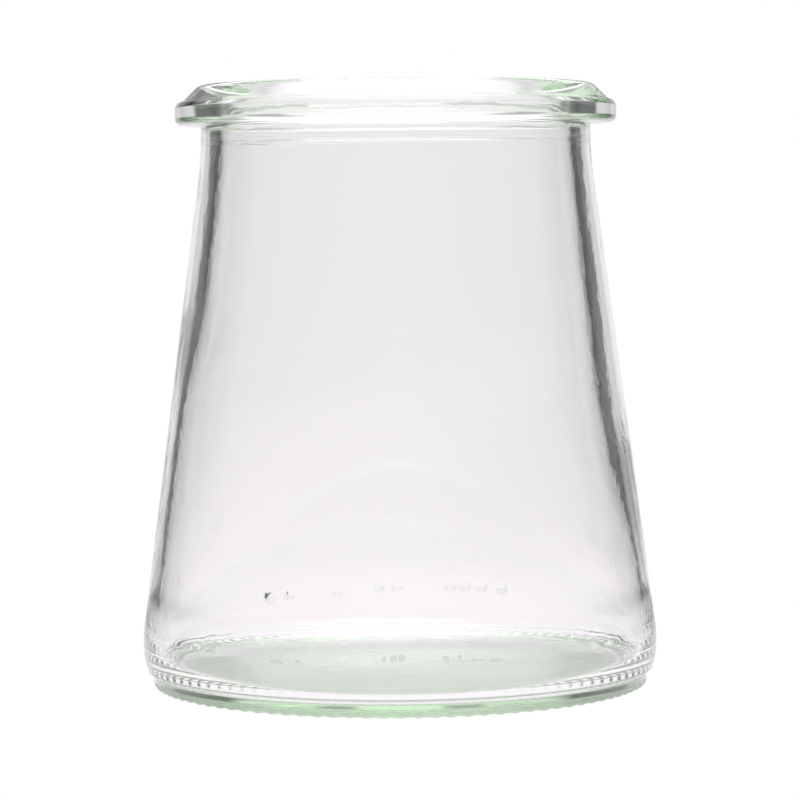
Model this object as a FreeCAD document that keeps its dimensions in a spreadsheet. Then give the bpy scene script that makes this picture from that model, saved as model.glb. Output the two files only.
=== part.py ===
import FreeCAD, Part
import math
import os
import Sketcher

from FreeCAD import Placement, Rotation, Vector

# Round-rim glass canning jar, one piece of glass: a cone-shaped body that
# narrows upwards, a short straight neck and a thick flanged rim with a
# chamfered top, on a base with a ring of short radial ribs.
# Millimetres, +Z up, origin at the centre of the base on the rib tips.

doc = FreeCAD.newDocument("canning_jar")

# ------------------------------------------------------------------ sizes
SIZES = [
    # outside, from the base up (radius, height pairs)
    ("underside_rise", 1.23),          # push-up at the centre of the underside
    ("underside_edge_radius", 31.5),
    ("underside_edge_height", 0.46),
    ("bearing_inner_radius", 35.4),
    ("rib_height", 0.2),               # ribs stand this far below the base ring
    ("heel_radius", 38.0),
    ("heel_round", 0.42),
    ("heel_top_radius", 38.07),
    ("heel_top_height", 1.24),
    ("low_bead_radius", 38.3),
    ("low_bead_height", 2.04),
    ("bead_gap_radius", 38.45),
    ("bead_gap_height", 2.26),
    ("high_bead_radius", 38.97),
    ("high_bead_height", 2.56),
    ("skirt_radius", 39.1),
    ("skirt_height", 3.0),
    ("widest_radius", 39.68),          # corner of the two cones, then rounded
    ("widest_height", 7.3),
    ("widest_round", 14.0),
    ("shoulder_radius", 30.0),
    ("shoulder_height", 80.1),
    ("neck_radius", 29.85),
    ("neck_height", 82.4),
    ("ring_step", 0.05),               # mould-joint ring on the neck
    ("ring_half", 0.25),
    ("ring_height", 83.35),
    ("flange_under_height", 86.02),
    ("flange_radius", 33.8),
    ("flange_top_height", 88.65),
    ("flange_ledge_radius", 33.35),
    ("flange_ledge_height", 89.35),
    ("rim_slope_radius", 32.5),        # foot of the sloping top of the rim
    ("rim_slope_height", 89.75),
    ("flange_under_round", 1.0),
    ("flange_inner_round", 0.5),
    ("flange_top_round", 0.5),
    ("rim_slope_round", 0.3),
    ("rim_land_radius", 30.1),
    ("rim_land_round", 2.0),
    ("total_height", 92.1),
    # inside
    ("mouth_radius", 26.9),
    ("mouth_round", 2.2),
    ("throat_height", 82.0),
    ("bore_a_radius", 27.5), ("bore_a_height", 76.0),
    ("bore_b_radius", 29.43), ("bore_b_height", 60.0),
    ("bore_c_radius", 31.85), ("bore_c_height", 45.0),
    ("bore_d_radius", 34.4), ("bore_d_height", 30.0),
    ("bore_e_radius", 36.2), ("bore_e_height", 20.0),
    ("bore_f_radius", 37.6), ("bore_f_height", 9.0),
    ("floor_corner_radius", 37.65),
    ("floor_edge_height", 2.2),
    ("floor_centre_height", 3.0),
    ("floor_round", 4.2),
    # base ribs
    ("rib_count", 96),
    ("rib_angle", 1.9),
    ("rib_first_angle", 0.0),
    ("rib_inner_radius", 36.4),
    ("rib_round_centre", 37.5),
    ("rib_round", 0.5),
    ("rib_root_radius", 37.8),
    ("rib_root_height", 0.4),
    # code dots on the back of the body, low down
    ("dot_radius", 1.15),
    ("dot_length", 1.2),
    ("dot_slope", 22.0),
    ("dot_proud", 0.4),
    ("dot_height", 10.35),
]
DOT_AZIMUTHS = [-34.0, -28.5, -15.5, -5.2, -0.6, 13.0, 16.6, 20.8, 26.2]
for i, a in enumerate(DOT_AZIMUTHS):
    SIZES.append(("dot_%s_azimuth" % "abcdefghijk"[i], a))

sheet = doc.addObject("Spreadsheet::Sheet", "sizes")
for row, (alias, value) in enumerate(SIZES, start=1):
    sheet.set("A%d" % row, alias)
    sheet.set("B%d" % row, repr(value))
    sheet.setAlias("B%d" % row, alias)
doc.recompute()
VAL = dict(SIZES)


def cell(name):
    return "sizes." + name


def value_of(expr):
    """A number from an expression that is a sum of cells and signs."""
    total, sign = 0.0, 1.0
    for word in expr.replace("sizes.", "").replace("+", " + ").replace("-", " - ").split():
        if word == "+":
            sign = 1.0
        elif word == "-":
            sign = -1.0
        else:
            total += sign * (VAL[word] if word in VAL else float(word))
            sign = 1.0
    return total


# ------------------------------------------------------------------- body
body = doc.addObject("PartDesign::Body", "glass_jar")
body.Label = "glass_jar"
body.Placement = Placement(Vector(0, 0, 0), Rotation())
doc.recompute()


def plane(role):
    return [f for f in body.Origin.OriginFeatures if f.Role == role][0]


def new_sketch(name, role="XZ_Plane"):
    sk = body.newObject("Sketcher::SketchObject", name)
    sk.AttachmentSupport = [(plane(role), "")]
    sk.MapMode = "FlatFace"
    return sk


def closed_profile(name, points):
    """A closed polygon of (radius expression, height expression, rounding) points. Each corner is held by its two distances from the origin. A rounded corner stays as a construction point on both its lines, which a tangent arc of the stated radius joins."""
    sk = new_sketch(name)
    n = len(points)
    xy = [(value_of(p[0]), value_of(p[1])) for p in points]
    size = [VAL[p[2]] if len(p) > 2 else 0.0 for p in points]
    cut = []
    for i in range(n):
        c = Vector(xy[i][0], xy[i][1], 0)
        u = Vector(xy[i - 1][0], xy[i - 1][1], 0) - c
        v = Vector(xy[(i + 1) % n][0], xy[(i + 1) % n][1], 0) - c
        u.normalize()
        v.normalize()
        half = u.getAngle(v) / 2
        t = size[i] / math.tan(half)
        cut.append((c, u, v, half, t))
    for i in range(n):
        j = (i + 1) % n
        a = cut[i][0] + cut[i][2] * cut[i][4]
        b = cut[j][0] + cut[j][1] * cut[j][4]
        sk.addGeometry(Part.LineSegment(a, b), False)
    for i in range(n):
        prev = (i - 1) % n
        corner, pos = i, 1
        if size[i]:
            c, u, v, half, t = cut[i]
            mid = c + (u + v).normalize() * (size[i] / math.sin(half))
            p0, p1 = c + u * t, c + v * t
            pm = mid + (c - mid).normalize() * size[i]
            arc = sk.addGeometry(Part.Arc(p0, pm, p1), False)
            turned = (p0 - mid).cross(p1 - mid).z < 0
            first, second = (2, 1) if turned else (1, 2)
            corner = sk.addGeometry(Part.Point(c), True)
            sk.addConstraint(Sketcher.Constraint("Tangent", prev, 2, arc, first))
            sk.addConstraint(Sketcher.Constraint("Tangent", i, 1, arc, second))
            k = sk.addConstraint(Sketcher.Constraint("Radius", arc, size[i]))
            sk.setExpression("Constraints[%d]" % k, cell(points[i][2]))
            sk.addConstraint(Sketcher.Constraint("PointOnObject", corner, 1, prev))
            sk.addConstraint(Sketcher.Constraint("PointOnObject", corner, 1, i))
        else:
            sk.addConstraint(Sketcher.Constraint("Coincident", prev, 2, i, 1))
        if xy[i][0] == 0:
            sk.addConstraint(Sketcher.Constraint("PointOnObject", corner, pos, -2))
        else:
            k = sk.addConstraint(Sketcher.Constraint("DistanceX", -1, 1, corner, pos, xy[i][0]))
            sk.setExpression("Constraints[%d]" % k, points[i][0])
        if xy[i][1] == 0:
            sk.addConstraint(Sketcher.Constraint("PointOnObject", corner, pos, -1))
        else:
            k = sk.addConstraint(Sketcher.Constraint("DistanceY", -1, 1, corner, pos, xy[i][1]))
            sk.setExpression("Constraints[%d]" % k, points[i][1])
    doc.recompute()
    if sk.solve() != 0:
        raise RuntimeError("%s does not solve" % name)
    return sk


def ring_points(height):
    """A small raised mould-joint ring on the neck."""
    n, step, half = cell("neck_radius"), cell("ring_step"), cell("ring_half")
    return [
        (n, "%s - %s" % (height, half)),
        ("%s + %s" % (n, step), height),
        (n, "%s + %s" % (height, half)),
    ]


outer = [
    ("0", cell("underside_rise")),
    (cell("underside_edge_radius"), cell("underside_edge_height")),
    (cell("bearing_inner_radius"), cell("rib_height")),
    (cell("heel_radius"), cell("rib_height"), "heel_round"),
    (cell("heel_top_radius"), cell("heel_top_height")),
    (cell("low_bead_radius"), cell("low_bead_height")),
    (cell("bead_gap_radius"), cell("bead_gap_height")),
    (cell("high_bead_radius"), cell("high_bead_height")),
    (cell("skirt_radius"), cell("skirt_height")),
    (cell("widest_radius"), cell("widest_height"), "widest_round"),
    (cell("shoulder_radius"), cell("shoulder_height")),
    (cell("neck_radius"), cell("neck_height")),
] + ring_points(cell("ring_height")) + [
    (cell("neck_radius"), cell("flange_under_height"), "flange_inner_round"),
    (cell("flange_radius"), cell("flange_under_height"), "flange_under_round"),
    (cell("flange_radius"), cell("flange_top_height"), "flange_top_round"),
    (cell("flange_ledge_radius"), cell("flange_ledge_height"), "flange_top_round"),
    (cell("rim_slope_radius"), cell("rim_slope_height"), "rim_slope_round"),
    (cell("rim_land_radius"), cell("total_height"), "rim_land_round"),
    ("0", cell("total_height")),
]
outer_sketch = closed_profile("outer_profile", outer)
doc.recompute()


def revolve(name, sketch, kind="PartDesign::Revolution", angle=360.0):
    f = body.newObject(kind, name)
    f.Profile = sketch
    f.ReferenceAxis = (sketch, ["V_Axis"])
    f.Angle = angle
    f.Reversed = False
    sketch.Visibility = False
    doc.recompute()
    return f


blank = revolve("blank", outer_sketch)

inner = [
    ("0", cell("floor_centre_height")),
    (cell("floor_corner_radius"), cell("floor_edge_height"), "floor_round"),
    (cell("bore_f_radius"), cell("bore_f_height")),
    (cell("bore_e_radius"), cell("bore_e_height")),
    (cell("bore_d_radius"), cell("bore_d_height")),
    (cell("bore_c_radius"), cell("bore_c_height")),
    (cell("bore_b_radius"), cell("bore_b_height")),
    (cell("bore_a_radius"), cell("bore_a_height")),
    (cell("mouth_radius"), cell("throat_height")),
    (cell("mouth_radius"), cell("total_height"), "mouth_round"),
    (cell("mouth_radius") + " + " + cell("mouth_round") + " + 0.05", cell("total_height")),
    (cell("mouth_radius") + " + " + cell("mouth_round") + " + 0.05", cell("total_height") + " + 1"),
    ("0", cell("total_height") + " + 1"),
]
inner_sketch = closed_profile("inner_profile", inner)
doc.recompute()
before = blank.Shape.Volume
bore = revolve("bore", inner_sketch, "PartDesign::Groove")
cut = before - bore.Shape.Volume
if cut < 0.5 * before:
    raise RuntimeError("the bore removed too little: %.0f of %.0f mm3" % (cut, before))


last = bore

# -------------------------------------------------------------- base ribs
rib_sketch = new_sketch("rib_profile")
c0, rr, zr = VAL["rib_round_centre"], VAL["rib_round"], VAL["rib_root_height"]
ri, ro = VAL["rib_inner_radius"], VAL["rib_root_radius"]
P = [(ri, 0), (c0, 0), (c0 + rr, rr), (ro, rr), (c0, zr), (ri, zr)]
rib_sketch.addGeometry(Part.LineSegment(Vector(*P[0], 0), Vector(*P[1], 0)), False)      # 0
rib_sketch.addGeometry(
    Part.ArcOfCircle(Part.Circle(Vector(c0, rr, 0), Vector(0, 0, 1), rr), -math.pi / 2, 0.0), False
)                                                                                      # 1
for k in (2, 3, 4, 5):                                                                 # 2..5
    a, b = P[k], P[(k + 1) % 6]
    rib_sketch.addGeometry(Part.LineSegment(Vector(*a, 0), Vector(*b, 0)), False)
for i, j in ((0, 1), (1, 2), (2, 3), (3, 4), (4, 5), (5, 0)):
    rib_sketch.addConstraint(Sketcher.Constraint("Coincident", i, 2, j, 1))


def held(kind, geo, pos, number, expression):
    k = rib_sketch.addConstraint(Sketcher.Constraint(kind, -1, 1, geo, pos, number))
    rib_sketch.setExpression("Constraints[%d]" % k, expression)


held("DistanceX", 0, 1, ri, "sizes.rib_inner_radius")
rib_sketch.addConstraint(Sketcher.Constraint("PointOnObject", 0, 1, -1))
held("DistanceX", 0, 2, c0, "sizes.rib_round_centre")
held("DistanceX", 1, 3, c0, "sizes.rib_round_centre")
held("DistanceY", 1, 3, rr, "sizes.rib_round")
k = rib_sketch.addConstraint(Sketcher.Constraint("Radius", 1, rr))
rib_sketch.setExpression("Constraints[%d]" % k, "sizes.rib_round")
held("DistanceY", 1, 2, rr, "sizes.rib_round")
held("DistanceX", 3, 1, ro, "sizes.rib_root_radius")
held("DistanceY", 3, 1, rr, "sizes.rib_round")
held("DistanceX", 4, 1, c0, "sizes.rib_round_centre")
held("DistanceY", 4, 1, zr, "sizes.rib_root_height")
held("DistanceX", 5, 1, ri, "sizes.rib_inner_radius")
held("DistanceY", 5, 1, zr, "sizes.rib_root_height")
doc.recompute()

rib = body.newObject("PartDesign::Revolution", "rib")
rib.Profile = rib_sketch
rib.ReferenceAxis = (rib_sketch, ["V_Axis"])
rib.Midplane = True
rib.setExpression("Angle", "sizes.rib_angle")
doc.recompute()
if rib.Shape.Volume <= last.Shape.Volume:
    raise RuntimeError("the rib added nothing")
one = rib.Shape.Volume - last.Shape.Volume

ribs = body.newObject("PartDesign::PolarPattern", "ribs")
ribs.Originals = [rib]
ribs.Axis = (rib_sketch, ["V_Axis"])
ribs.Angle = 360.0
ribs.setExpression("Occurrences", "sizes.rib_count")
body.Tip = ribs
doc.recompute()
if rib_sketch.solve() != 0:
    raise RuntimeError("the rib's sketch does not solve")
added = ribs.Shape.Volume - last.Shape.Volume
print("one rib %.3f mm3, all ribs %.2f mm3" % (one, added))
if abs(added - VAL["rib_count"] * one) > 0.05 * added:
    raise RuntimeError("the ribs do not add up")
last = ribs

# -------------------------------------------------------------- code dots
# A row of small raised dots low on the back of the body, each a short pad
# with sloping sides that starts inside the wall and points outwards.
WALL = (
    "(sizes.widest_radius - (sizes.dot_height - sizes.widest_height)"
    " * (sizes.widest_radius - sizes.shoulder_radius)"
    " / (sizes.shoulder_height - sizes.widest_height))"
)
for i, azimuth in enumerate(DOT_AZIMUTHS):
    letter = "abcdefghijk"[i]
    turn = "sizes.dot_%s_azimuth * 1 deg" % letter
    reach = "(%s + sizes.dot_proud - sizes.dot_length)" % WALL
    sk = new_sketch("dot_profile_" + letter)
    sk.addGeometry(Part.Circle(Vector(0, 0, 0), Vector(0, 0, 1), VAL["dot_radius"]), False)
    sk.addConstraint(Sketcher.Constraint("Coincident", 0, 3, -1, 1))
    k = sk.addConstraint(Sketcher.Constraint("Radius", 0, VAL["dot_radius"]))
    sk.setExpression("Constraints[%d]" % k, "sizes.dot_radius")
    sk.AttachmentOffset = Placement(Vector(0, 0, 0), Rotation(Vector(0, -1, 0), azimuth))
    sk.setExpression("AttachmentOffset.Base.x", "%s * sin(%s)" % (reach, turn))
    sk.setExpression("AttachmentOffset.Base.y", "sizes.dot_height")
    sk.setExpression("AttachmentOffset.Base.z", "-1 * %s * cos(%s)" % (reach, turn))
    doc.recompute()
    dot = body.newObject("PartDesign::Pad", "code_dot_" + letter)
    dot.Profile = sk
    dot.Reversed = True
    dot.setExpression("Length", "sizes.dot_length")
    dot.setExpression("TaperAngle", "-1 * sizes.dot_slope * 1 deg")
    sk.Visibility = False
    body.Tip = dot
    doc.recompute()
    grown = dot.Shape.Volume - last.Shape.Volume
    bb = dot.Shape.BoundBox
    if not 0.1 < grown < 1.5:
        raise RuntimeError("%s adds %.3f mm3" % (dot.Name, grown))
    last = dot
print("code dots add %.3f mm3" % (last.Shape.Volume - ribs.Shape.Volume))

# ----------------------------------------------------------------- output
for obj in doc.Objects:
    bad = [s for s in obj.State if s in ("Invalid", "Error")]
    if bad:
        raise RuntimeError("%s is %s" % (obj.Name, bad))

parts = [body]
for p in parts:
    shape = p.Shape
    if shape.isNull() or not shape.isValid() or len(shape.Solids) != 1:
        raise RuntimeError("%s has no valid single solid" % p.Label)

os.makedirs("parts", exist_ok=True)
for p in parts:
    shape = p.Shape
    bb = shape.BoundBox
    print(
        "%s: volume %.0f mm3, box %.2f %.2f %.2f to %.2f %.2f %.2f, %d faces"
        % (p.Label, shape.Volume, bb.XMin, bb.YMin, bb.ZMin, bb.XMax, bb.YMax, bb.ZMax, len(shape.Faces))
    )
    shape.exportStep(os.path.join("parts", p.Label + ".step"))
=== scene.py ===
import math

import bpy
import numpy as np
from mathutils import Matrix, Vector


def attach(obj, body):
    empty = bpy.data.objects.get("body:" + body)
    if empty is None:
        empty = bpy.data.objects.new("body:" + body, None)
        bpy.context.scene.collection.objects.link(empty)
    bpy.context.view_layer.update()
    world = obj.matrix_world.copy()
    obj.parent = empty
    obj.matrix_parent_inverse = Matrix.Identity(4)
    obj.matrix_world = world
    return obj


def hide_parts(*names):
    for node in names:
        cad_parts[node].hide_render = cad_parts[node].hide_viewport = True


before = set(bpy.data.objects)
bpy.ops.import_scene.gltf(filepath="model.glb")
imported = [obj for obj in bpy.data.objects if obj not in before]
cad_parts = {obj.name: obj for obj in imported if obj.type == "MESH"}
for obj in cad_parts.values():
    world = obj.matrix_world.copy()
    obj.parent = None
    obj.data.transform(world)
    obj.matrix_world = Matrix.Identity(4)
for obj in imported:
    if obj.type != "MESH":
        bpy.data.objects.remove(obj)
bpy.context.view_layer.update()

MM = 0.001

# --------------------------------------------------------------------------
# The jar: one closed skin of glass, turned round the axis, in millimetres.
# Its sizes are those of the CAD solid. What a lathe form can't hold is added
# to it point by point: the ribs, the code dots and the uneven inner wall.
# --------------------------------------------------------------------------
TOTAL = 92.1
RIBS = 96
COLUMNS = 576            # 6 to a rib


def rounded(points, steps=6):
    """The polygon's points, each corner (r, z, radius) turned into an arc."""
    out = []
    n = len(points)
    for i, p in enumerate(points):
        if len(p) < 3 or i in (0, n - 1):
            out.append((p[0], p[1]))
            continue
        c = Vector((p[0], p[1]))
        u = (Vector(points[i - 1][:2]) - c).normalized()
        v = (Vector(points[i + 1][:2]) - c).normalized()
        half = u.angle(v) / 2
        t = p[2] / math.tan(half)
        mid = c + (u + v).normalized() * (p[2] / math.sin(half))
        a0 = c + u * t - mid
        a1 = c + v * t - mid
        turn = a0.angle_signed(a1)
        k = p[3] if len(p) > 3 else steps
        for j in range(k + 1):
            a = -turn * j / k
            x = a0.x * math.cos(a) - a0.y * math.sin(a)
            y = a0.x * math.sin(a) + a0.y * math.cos(a)
            out.append((mid.x + x, mid.y + y))
    return out


def spline(table, z):
    """Smooth curve through (z, r) knots, Catmull-Rom with uneven knots."""
    zs = np.array([k[0] for k in table], float)
    rs = np.array([k[1] for k in table], float)
    m = np.zeros(len(zs))
    for i in range(len(zs)):
        if i == 0:
            m[i] = (rs[1] - rs[0]) / (zs[1] - zs[0])
        elif i == len(zs) - 1:
            m[i] = (rs[-1] - rs[-2]) / (zs[-1] - zs[-2])
        else:
            a = (rs[i] - rs[i - 1]) / (zs[i] - zs[i - 1])
            b = (rs[i + 1] - rs[i]) / (zs[i + 1] - zs[i])
            ha, hb = zs[i] - zs[i - 1], zs[i + 1] - zs[i]
            m[i] = (a * hb + b * ha) / (ha + hb)
    z = np.asarray(z, float)
    i = np.clip(np.searchsorted(zs, z) - 1, 0, len(zs) - 2)
    h = zs[i + 1] - zs[i]
    t = (z - zs[i]) / h
    return (
        (2 * t**3 - 3 * t**2 + 1) * rs[i]
        + (t**3 - 2 * t**2 + t) * h * m[i]
        + (-2 * t**3 + 3 * t**2) * rs[i + 1]
        + (t**3 - t**2) * h * m[i + 1]
    )


# --- inside, from the centre of the floor to the mouth
OUTER = [
    (3.0, 39.1), (3.6, 39.3), (4.2, 39.45), (5.0, 39.54), (5.8, 39.59), (6.6, 39.6), (7.4, 39.58), (8.6, 39.5), (10.0, 39.32),
    (12.0, 39.05), (16.44, 38.47), (45.0, 34.67), (74.0, 30.81), (76.0, 30.545), (78.0, 30.295), (79.5, 30.12), (81.0, 29.98), (82.5, 29.885), (84.0, 29.85),
]
# wall thickness by height at the jar's two sides; it passes smoothly from one to the other round the axis
LEFT = [(5.0, 2.0), (8.0, 1.85), (12.5, 1.7), (20.0, 1.8), (28.0, 2.0), (36.0, 2.1), (44.0, 2.2), (50.0, 2.5), (55.5, 2.9), (60.0, 3.15), (65.0, 3.2), (71.0, 3.15), (76.0, 3.0), (80.0, 2.9), (83.0, 2.92), (86.0, 2.95)]
RIGHT = [(5.0, 2.0), (8.0, 1.85), (12.0, 1.65), (17.0, 1.65), (22.0, 1.9), (28.0, 2.35), (34.0, 2.85), (40.0, 3.25), (45.0, 3.4), (51.0, 3.4), (57.0, 3.35), (63.0, 3.35), (70.0, 3.25), (76.0, 3.1), (80.0, 3.0), (83.0, 2.96), (86.0, 2.95)]


def mean_wall(z):
    return (spline(LEFT, z) + spline(RIGHT, z)) / 2


rows = []                # (r, z, kind): what kind of point it is says how it is moved


def add(points, kind):
    for p in points:
        if rows and math.hypot(rows[-1][0] - p[0], rows[-1][1] - p[1]) < 1e-4:
            continue
        rows.append((p[0], p[1], kind))


def rise(r):
    return 0.8 * max(0.0, 1 - (r / 33.0) ** 2) ** 1.3


def floor_z(r):
    return FLOOR_EDGE + rise(r)


FLOOR_EDGE, CORNER = 2.2, 4.2
add([(r, floor_z(r)) for r in (0.35, 5, 10, 15, 19, 23, 26.5, 29.0, 31.0, 32.4)], "floor")
add(rounded([(32.4, FLOOR_EDGE), (37.65, FLOOR_EDGE, CORNER, 9), (37.55, 9.0)])[1:-1], "corner")
zs = [7.4, 8.4, 10.2, 11.8, 13.6, 15.8] + list(np.linspace(18.2, 81.0, 19))
add([(float(spline(OUTER, z) - mean_wall(z)), z) for z in zs], "bore")
add([(float(spline(OUTER, z) - mean_wall(z)), z) for z in (82.4, 83.8)], "throat")
add([(26.9, 85.6), (26.9, 87.4), (26.9, 88.9)], "throat")
add(rounded([(26.9, 88.9), (26.9, TOTAL, 2.2, 7), (29.9, TOTAL)])[1:-1], "rim")
# --- over the rim and down the outside
add(
    rounded(
        [
            (28.9, TOTAL), (30.1, TOTAL, 2.0, 6), (32.5, 89.75, 0.3, 3), (33.35, 89.35, 0.5, 3), (33.8, 88.65, 0.5, 3), (33.8, 86.02, 1.0, 5),
            (29.85, 86.02, 0.5, 4), (29.85, 84.2),
        ]
    )[1:-1],
    "rim",
)


# a fine mould-joint ring on the neck
def ring(z, step, half):
    return [(29.85, z + half), (29.85 + step * 0.75, z + half * 0.35), (29.85 + step, z), (29.85 + step * 0.75, z - half * 0.35), (29.85, z - half)]


add([(29.85, 84.6)] + ring(83.35, 0.045, 0.25) + [(29.855, 82.85)], "neck")
zo = [82.5, 81.8, 81.1, 80.4, 79.6, 78.7, 77.5] + list(np.linspace(74.5, 18.5, 11)) + [16.0, 14.4]
zo += list(np.linspace(13.4, 8.6, 12)) + [7.7, 6.9, 6.2, 5.5, 4.8, 4.1, 3.5]
add([(float(spline(OUTER, z)), z) for z in zo], "wall")
# the bead at the joint between body mould and base plate, and the narrower foot below it
add([(39.1, 3.0), (39.06, 2.86), (39.09, 2.72), (38.97, 2.56), (38.72, 2.4), (38.45, 2.26), (38.34, 2.16), (38.3, 2.04), (38.24, 1.84), (38.18, 1.62), (38.12, 1.42)], "bead")
# the ribbed heel: a valley and a crest for each point, blended round the axis
HEEL = [((38.07, 1.24), (38.07, 1.24)), ((38.04, 0.98), (38.04, 0.98)), ((38.01, 0.77), (38.01, 0.72))]
VALLEY_R, VALLEY_C = 0.42, (37.58, 0.62)
CREST_R, CREST_C = 0.5, (37.5, 0.5)
for k in range(7):
    a = math.radians(-90.0 * k / 6)
    valley = (VALLEY_C[0] + VALLEY_R * math.cos(a), VALLEY_C[1] + VALLEY_R * math.sin(a))
    crest = (CREST_C[0] + CREST_R * math.cos(a), CREST_C[1] + CREST_R * math.sin(a))
    HEEL.append((valley, crest))
HEEL += [((37.2, 0.2), (37.1, 0.0)), ((36.8, 0.21), (36.8, 0.0)), ((36.3, 0.24), (36.4, 0.1)), ((35.8, 0.27), (35.8, 0.26))]
heel_start = len(rows)
for valley, crest in HEEL:
    rows.append((valley[0], valley[1], "heel"))
heel_end = len(rows)
# the underside, pushed up
UNDER = [(35.0, 0.29), (34.2, 0.33), (33.4, 0.39)] + [(r, 0.43 + rise(r)) for r in (32.4, 31.0, 29.0, 26.5, 23.0, 19.0, 15.0, 10.0, 5.0, 0.35)]
add(UNDER, "under")

M = len(rows)
theta = np.arange(COLUMNS) * 2 * math.pi / COLUMNS          # 0 along +X
R = np.repeat(np.array([p[0] for p in rows])[:, None], COLUMNS, 1)
Z = np.repeat(np.array([p[1] for p in rows])[:, None], COLUMNS, 1)
T = np.repeat(theta[None, :], M, 0)
KIND = np.array([p[2] for p in rows])

# --- ribs: narrow crests with round valleys between them
w = (0.5 + 0.5 * np.cos(RIBS * theta)) ** 1.4
for i in range(heel_start, heel_end):
    (vr, vz), (cr, cz) = HEEL[i - heel_start]
    R[i] = vr + (cr - vr) * w
    Z[i] = vz + (cz - vz) * w

# --- the wall is not of one thickness: it differs at the two sides, and wavers a little all round
rng = np.random.RandomState(11)


def waves(t, z, spec):
    s = np.zeros_like(t)
    for m_lo, m_hi, long_mm, amp, count in spec:
        for _ in range(count):
            m = rng.randint(m_lo, m_hi + 1)
            kz = 2 * math.pi / long_mm * rng.uniform(-1, 1)
            s += amp / math.sqrt(count) * np.cos(m * t + kz * z + rng.uniform(0, 2 * math.pi))
    return s


def smooth(x):
    x = np.clip(x, 0, 1)
    return x * x * (3 - 2 * x)


fade_low = np.clip((Z - 7.0) / 8.0, 0, 1)
fade_high = np.clip((86.0 - Z) / 5.0, 0, 1)
inner = (KIND == "bore") | (KIND == "throat")
lean = (spline(RIGHT, Z) - spline(LEFT, Z)) / 2 * np.cos(T)
R[inner] -= (lean * np.clip((Z - 6.0) / 4.0, 0, 1) * fade_high)[inner]
thick = waves(T, Z, [(2, 5, 80, 0.015, 5), (10, 24, 20, 0.004, 10), (30, 60, 14, 0.0012, 12)])
R[inner] += (thick * fade_low * fade_high)[inner]
outer_wave = waves(T, Z, [(2, 6, 60, 0.012, 5), (10, 30, 20, 0.002, 8)])
wall = KIND == "wall"
R[wall] += (outer_wave * np.clip((Z - 14.0) / 10.0, 0, 1) * np.clip((80.0 - Z) / 8.0, 0, 1))[wall]
floor = KIND == "floor"
Z[floor] += (waves(T, R, [(1, 3, 30, 0.05, 4), (3, 6, 14, 0.02, 6)]) * np.clip(R / 12.0, 0, 1) * np.clip((32 - R) / 4.0, 0, 1))[floor]

# --- code dots: low domes outside on the back wall
DOTS = ((-34.0, 10.35), (-28.5, 10.35), (-15.5, 10.8), (-5.2, 11.7), (-0.6, 11.7), (13.0, 12.1), (16.6, 11.95), (20.8, 11.75), (26.2, 11.65))
for az, level in DOTS:
    a = math.pi / 2 - math.radians(az)
    d = np.sqrt(((T - a) * 39.3) ** 2 + (Z - level) ** 2)
    dome = 0.5 * np.clip(1 - (d / 1.15) ** 2, 0, 1)
    R[wall] += dome[wall]

X = R * np.cos(T)
Y = R * np.sin(T)
grid = np.stack([X, Y, Z], -1).reshape(-1, 3) * MM

ids = np.arange(M * COLUMNS).reshape(M, COLUMNS)
nxt = np.roll(ids, -1, 1)
quads = np.stack([ids[:-1], ids[1:], nxt[1:], nxt[:-1]], -1).reshape(-1, 4)
faces = [tuple(int(v) for v in q) for q in quads]
verts = [tuple(float(c) for c in p) for p in grid]
top = len(verts)
verts.append((0.0, 0.0, float(Z[0].mean()) * MM))
bottom = len(verts)
verts.append((0.0, 0.0, float(Z[-1].mean()) * MM))
for j in range(COLUMNS):
    k = (j + 1) % COLUMNS
    faces.append((top, int(ids[0, j]), int(ids[0, k])))
    faces.append((bottom, int(ids[-1, k]), int(ids[-1, j])))

mesh = bpy.data.meshes.new("jar_glass")
mesh.from_pydata(verts, [], faces)
mesh.validate()
mesh.update()
import bmesh
bm = bmesh.new()
bm.from_mesh(mesh)
bmesh.ops.recalc_face_normals(bm, faces=bm.faces[:])
if bm.calc_volume(signed=True) < 0:
    bmesh.ops.reverse_faces(bm, faces=bm.faces[:])
print("jar volume mm3", round(bm.calc_volume(signed=True) * 1e9, 1), "triangles", sum(len(f.verts) - 2 for f in bm.faces))
bm.to_mesh(mesh)
bm.free()
mesh.shade_smooth()
jar = bpy.data.objects.new("jar_glass", mesh)
bpy.context.scene.collection.objects.link(jar)

# --------------------------------------------------------------------------
# Glass: clear, smooth, faintly green where light runs a long way through it
# --------------------------------------------------------------------------
glass = bpy.data.materials.new("clear_jar_glass")
glass.use_nodes = True
nt = glass.node_tree
p = nt.nodes["Principled BSDF"]
out = nt.nodes["Material Output"]
p.inputs["Base Color"].default_value = (1, 1, 1, 1)
p.inputs["IOR"].default_value = 1.52
p.inputs["Transmission Weight"].default_value = 1.0
absorb = nt.nodes.new("ShaderNodeVolumeAbsorption")
absorb.inputs["Color"].default_value = (0.12, 0.64, 0.02, 1)
absorb.inputs["Density"].default_value = 6.8
nt.links.new(absorb.outputs["Volume"], out.inputs["Volume"])
# polished all over but for the stippled foot
place = nt.nodes.new("ShaderNodeTexCoord")
height = nt.nodes.new("ShaderNodeSeparateXYZ")
nt.links.new(place.outputs["Object"], height.inputs[0])
foot = nt.nodes.new("ShaderNodeMapRange")
foot.inputs["From Min"].default_value = 0.0013
foot.inputs["From Max"].default_value = 0.0009
foot.inputs["To Min"].default_value = 0.0
foot.inputs["To Max"].default_value = 0.3
nt.links.new(height.outputs["Z"], foot.inputs["Value"])
nt.links.new(foot.outputs["Result"], p.inputs["Roughness"])
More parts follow.
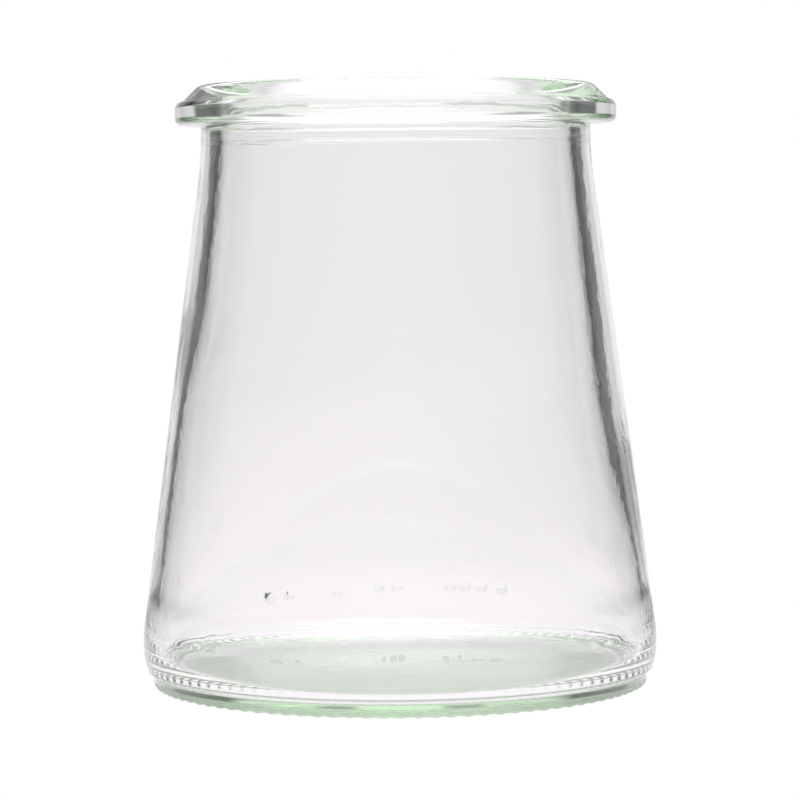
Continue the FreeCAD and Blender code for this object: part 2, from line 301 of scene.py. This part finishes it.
# faint chill marks of the moulded surface
coord = nt.nodes.new("ShaderNodeTexCoord")
ripple = nt.nodes.new("ShaderNodeTexNoise")
ripple.inputs["Scale"].default_value = 330.0
ripple.inputs["Detail"].default_value = 2.0
nt.links.new(coord.outputs["Object"], ripple.inputs["Vector"])
bump = nt.nodes.new("ShaderNodeBump")
bump.inputs["Strength"].default_value = 1.0
bump.inputs["Distance"].default_value = 0.000018
nt.links.new(ripple.outputs["Fac"], bump.inputs["Height"])
nt.links.new(bump.outputs["Normal"], p.inputs["Normal"])
mesh.materials.append(glass)

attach(jar, "root")
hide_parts("glass_jar")

# --------------------------------------------------------------------------
# Studio: a white sweep behind, dark flags beside it, and a pale floor with painted light and shade on it
# --------------------------------------------------------------------------
world = bpy.data.worlds.new("studio")
bpy.context.scene.world = world
world.use_nodes = True
wt = world.node_tree
for n in list(wt.nodes):
    wt.nodes.remove(n)


def node(tree, kind, **values):
    n = tree.nodes.new(kind)
    for k, v in values.items():
        setattr(n, k, v)
    return n


def math_node(tree, op, a, b=None, c=None):
    n = node(tree, "ShaderNodeMath", operation=op)
    for i, v in enumerate((a, b, c)):
        if v is None:
            continue
        if isinstance(v, (int, float)):
            n.inputs[i].default_value = v
        else:
            tree.links.new(v, n.inputs[i])
    return n.outputs[0]


def ramp(tree, fac, stops, mode="EASE"):
    n = node(tree, "ShaderNodeValToRGB")
    n.color_ramp.interpolation = mode
    els = n.color_ramp.elements
    while len(els) > 1:
        els.remove(els[-1])
    els[0].position = stops[0][0]
    els[0].color = (*stops[0][1], 1)
    for pos, col in stops[1:]:
        e = els.new(pos)
        e.color = (*col, 1)
    tree.links.new(fac, n.inputs[0])
    return n.outputs[0]


def grey(v, tint=(1, 1, 1)):
    return tuple(v * t for t in tint)


def surroundings(tree, vector):
    """What the glass sees in this direction: the colour of the studio by its angle from straight behind the jar, and by its height."""
    sep = node(tree, "ShaderNodeSeparateXYZ")
    tree.links.new(vector, sep.inputs[0])
    x, y, z = sep.outputs
    az = math_node(tree, "ABSOLUTE", math_node(tree, "ARCTAN2", x, y))
    az = math_node(tree, "DIVIDE", az, math.pi)
    el = math_node(tree, "DIVIDE", math_node(tree, "ARCSINE", z), math.pi)
    el = math_node(tree, "ADD", el, 0.5)
    back = (1.03, 0.975, 1.035)
    dark = grey(0.12)
    around = ramp(
        tree, az,
        [
            (0.0, back), (19 / 180, back), (25 / 180, grey(0.93, back)), (28 / 180, grey(0.72, back)), (31 / 180, dark),
            (54 / 180, dark), (64 / 180, grey(0.4)), (105 / 180, grey(0.6)), (1.0, grey(0.75)),
        ],
        "LINEAR",
    )
    fall = ramp(tree, el, [(0.0, grey(1.0)), (0.5 - 8 / 180, grey(1.0)), (0.5 - 5 / 180, grey(0.94)), (0.5 - 3 / 180, grey(0.90)), (0.5 - 1 / 180, grey(0.875)), (1.0, grey(0.885))], "LINEAR")
    shade = node(tree, "ShaderNodeMix", data_type="RGBA", blend_type="MULTIPLY")
    shade.inputs["Factor"].default_value = 1.0
    tree.links.new(around, shade.inputs["A"])
    tree.links.new(fall, shade.inputs["B"])
    # higher up the sweep is brightest straight behind, and the flags close in on it
    high = ramp(
        tree, az,
        [(0.0, grey(1.05)), (5.5 / 180, grey(1.05)), (7.5 / 180, grey(0.5)), (11.5 / 180, grey(0.5)), (14 / 180, grey(0.9)), (17 / 180, grey(0.68)), (26 / 180, grey(0.62)), (32 / 180, grey(0.14)), (54 / 180, grey(0.14)), (64 / 180, grey(0.5)), (1.0, grey(0.75))],
        "LINEAR",
    )
    top = ramp(
        tree, az,
        [(0.0, grey(1.3)), (9 / 180, grey(1.3)), (13 / 180, grey(1.5)), (58 / 180, grey(1.5)), (66 / 180, grey(0.8)), (1.0, grey(0.8))],
        "LINEAR",
    )
    # a soft box overhead, and one in front above the camera
    full = math_node(tree, "DIVIDE", math_node(tree, "ARCTAN2", x, y), 2 * math.pi)
    full = math_node(tree, "ADD", full, 0.5)
    front = ramp(
        tree, full,
        [(0.0, grey(1.0)), (34 / 360, grey(1.0)), (40 / 360, grey(0.0)), ((360 - 68) / 360, grey(0.0)), ((360 - 60) / 360, grey(1.0)), (1.0, grey(1.0))],
        "LINEAR",
    )
    frontal = ramp(tree, el, [(0.0, grey(0.0)), (0.5 + 25 / 180, grey(0.0)), (0.5 + 31 / 180, grey(1.0)), (1.0, grey(1.0))], "LINEAR")
    boxed = math_node(tree, "MULTIPLY", front, frontal)
    def blend(first, second, lo, hi):
        step = ramp(tree, el, [(0.0, grey(0.0)), (0.5 + lo / 180, grey(0.0)), (0.5 + hi / 180, grey(1.0)), (1.0, grey(1.0))], "LINEAR")
        m = node(tree, "ShaderNodeMix", data_type="RGBA")
        tree.links.new(step, m.inputs["Factor"])
        tree.links.new(first, m.inputs["A"])
        if isinstance(second, tuple):
            m.inputs["B"].default_value = (*second, 1)
        else:
            tree.links.new(second, m.inputs["B"])
        return m.outputs["Result"]

    mixed = blend(blend(blend(shade.outputs["Result"], high, 3, 8), top, 20, 28), grey(3.4), 56, 66)
    lit = node(tree, "ShaderNodeMix", data_type="RGBA")
    tree.links.new(boxed, lit.inputs["Factor"])
    tree.links.new(mixed, lit.inputs["A"])
    lit.inputs["B"].default_value = (2.6, 2.6, 2.6, 1)
    return lit.outputs["Result"]


gen = node(wt, "ShaderNodeTexCoord")
seen = surroundings(wt, gen.outputs["Generated"])
path = node(wt, "ShaderNodeLightPath")
bg_seen = node(wt, "ShaderNodeBackground")
wt.links.new(seen, bg_seen.inputs["Color"])
bg_white = node(wt, "ShaderNodeBackground")
bg_white.inputs["Color"].default_value = (1, 1, 1, 1)
bg_white.inputs["Strength"].default_value = 1.0
mixw = node(wt, "ShaderNodeMixShader")
wt.links.new(path.outputs["Is Camera Ray"], mixw.inputs[0])
wt.links.new(bg_seen.outputs[0], mixw.inputs[1])
wt.links.new(bg_white.outputs[0], mixw.inputs[2])
wout = node(wt, "ShaderNodeOutputWorld")
wt.links.new(mixw.outputs[0], wout.inputs["Surface"])

# floor: it glows with painted light and shade that the glass sees on it, while camera rays see it plain white
fm = bpy.data.meshes.new("floor")
ring_n = 96
fv = [(0.0, 0.0, 0.0)]
for rad in (0.06, 0.12, 0.3, 0.8, 2.5, 8.0):
    fv += [(rad * math.cos(2 * math.pi * i / ring_n), rad * math.sin(2 * math.pi * i / ring_n), 0.0) for i in range(ring_n)]
ff = [(0, 1 + i, 1 + (i + 1) % ring_n) for i in range(ring_n)]
for k in range(5):
    a, b = 1 + k * ring_n, 1 + (k + 1) * ring_n
    ff += [(a + i, b + i, b + (i + 1) % ring_n, a + (i + 1) % ring_n) for i in range(ring_n)]
fm.from_pydata(fv, [], ff)
floor_ob = bpy.data.objects.new("floor", fm)
bpy.context.scene.collection.objects.link(floor_ob)
floor_mat = bpy.data.materials.new("pale_floor")
floor_mat.use_nodes = True
ft = floor_mat.node_tree
for n in list(ft.nodes):
    ft.nodes.remove(n)
geo = node(ft, "ShaderNodeNewGeometry")
fsep = node(ft, "ShaderNodeSeparateXYZ")
ft.links.new(geo.outputs["Position"], fsep.inputs[0])
faz = math_node(ft, "DIVIDE", math_node(ft, "ABSOLUTE", math_node(ft, "ARCTAN2", fsep.outputs[0], fsep.outputs[1])), math.pi)
frad = math_node(ft, "SQRT", math_node(ft, "ADD", math_node(ft, "MULTIPLY", fsep.outputs[0], fsep.outputs[0]), math_node(ft, "MULTIPLY", fsep.outputs[1], fsep.outputs[1])))
BACK = (1.03, 0.975, 1.035)
# painted light and shade on the floor by angle: bright behind the jar where the sweep lights it, painted shade at the
# sides where the flags stand
floor_painted_light_by_angle = ramp(
    ft, faz,
    [(0.0, grey(1.0, BACK)), (19 / 180, grey(1.0, BACK)), (25 / 180, grey(0.93, BACK)), (28 / 180, grey(0.72, BACK)), (32 / 180, grey(0.2)), (56 / 180, grey(0.2)), (66 / 180, grey(0.5)), (1.0, grey(0.75))],
    "LINEAR",
)
# painted falloff: the floor's glow fades with distance from the jar
painted_falloff = ramp(ft, math_node(ft, "DIVIDE", frad, 5.0), [(0.0, grey(1.0)), (0.032, grey(0.98)), (0.058, grey(0.94)), (0.14, grey(0.905)), (0.5, grey(0.875)), (1.0, grey(0.875))], "LINEAR")
floor_painted_light = node(ft, "ShaderNodeMix", data_type="RGBA", blend_type="MULTIPLY")
floor_painted_light.inputs["Factor"].default_value = 1.0
ft.links.new(floor_painted_light_by_angle, floor_painted_light.inputs["A"])
ft.links.new(painted_falloff, floor_painted_light.inputs["B"])
# painted contact shadow under the jar, inside a brighter painted pool of light close around it
painted_shadow_and_pool_mask = ramp(ft, frad, [(0.0, grey(1.0)), (0.06, grey(1.0)), (0.2, grey(0.0)), (1.0, grey(0.0))], "LINEAR")
# colour of the painted contact shadow: a darker, greenish disc up to 34 mm from the axis, as if shaded by the glass
under = ramp(ft, math_node(ft, "MULTIPLY", frad, 10.0), [(0.0, (0.70, 0.76, 0.69)), (0.34, (0.59, 0.65, 0.58)), (0.350, BACK), (1.0, BACK)], "LINEAR")
fmix = node(ft, "ShaderNodeMix", data_type="RGBA")
ft.links.new(painted_shadow_and_pool_mask, fmix.inputs["Factor"])
ft.links.new(floor_painted_light.outputs["Result"], fmix.inputs["A"])
ft.links.new(under, fmix.inputs["B"])
em = node(ft, "ShaderNodeEmission")
ft.links.new(fmix.outputs["Result"], em.inputs["Color"])
em_cam = node(ft, "ShaderNodeEmission")
em_cam.inputs["Color"].default_value = (1, 1, 1, 1)
fpath = node(ft, "ShaderNodeLightPath")
fsh = node(ft, "ShaderNodeMixShader")
ft.links.new(fpath.outputs["Is Camera Ray"], fsh.inputs[0])
ft.links.new(em.outputs[0], fsh.inputs[1])
ft.links.new(em_cam.outputs[0], fsh.inputs[2])
fout = node(ft, "ShaderNodeOutputMaterial")
ft.links.new(fsh.outputs[0], fout.inputs["Surface"])
fm.materials.append(floor_mat)

# --------------------------------------------------------------------------
# Camera
# --------------------------------------------------------------------------
FOCAL_PX = 3248.0
cam_data = bpy.data.cameras.new("camera")
cam_data.sensor_width = 36.0
cam_data.lens = FOCAL_PX / 800.0 * 36.0
cam_data.clip_start = 0.01
cam_data.clip_end = 50.0
cam = bpy.data.objects.new("camera", cam_data)
bpy.context.scene.collection.objects.link(cam)
pitch, roll, yaw = math.radians(3.4), math.radians(0.50), math.atan(2.0 / FOCAL_PX)
fwd = Vector((math.sin(yaw) * math.cos(pitch), math.cos(yaw) * math.cos(pitch), -math.sin(pitch)))
right0 = Vector((math.cos(yaw), -math.sin(yaw), 0.0))
up0 = right0.cross(fwd)
up = up0 * math.cos(roll) + right0 * math.sin(roll)
right = right0 * math.cos(roll) - up0 * math.sin(roll)
rot = Matrix((right, up, -fwd)).transposed()
cam.matrix_world = Matrix.Translation(Vector((0.0, -0.500, 0.0733))) @ rot.to_4x4()
bpy.context.scene.camera = cam

sc = bpy.context.scene
sc.view_settings.view_transform = "Standard"
sc.view_settings.look = "None"
sc.cycles.max_bounces = 40
sc.cycles.transmission_bounces = 40
sc.cycles.glossy_bounces = 24
sc.cycles.transparent_max_bounces = 16
sc.cycles.volume_bounces = 0
sc.cycles.sample_clamp_indirect = 6.0
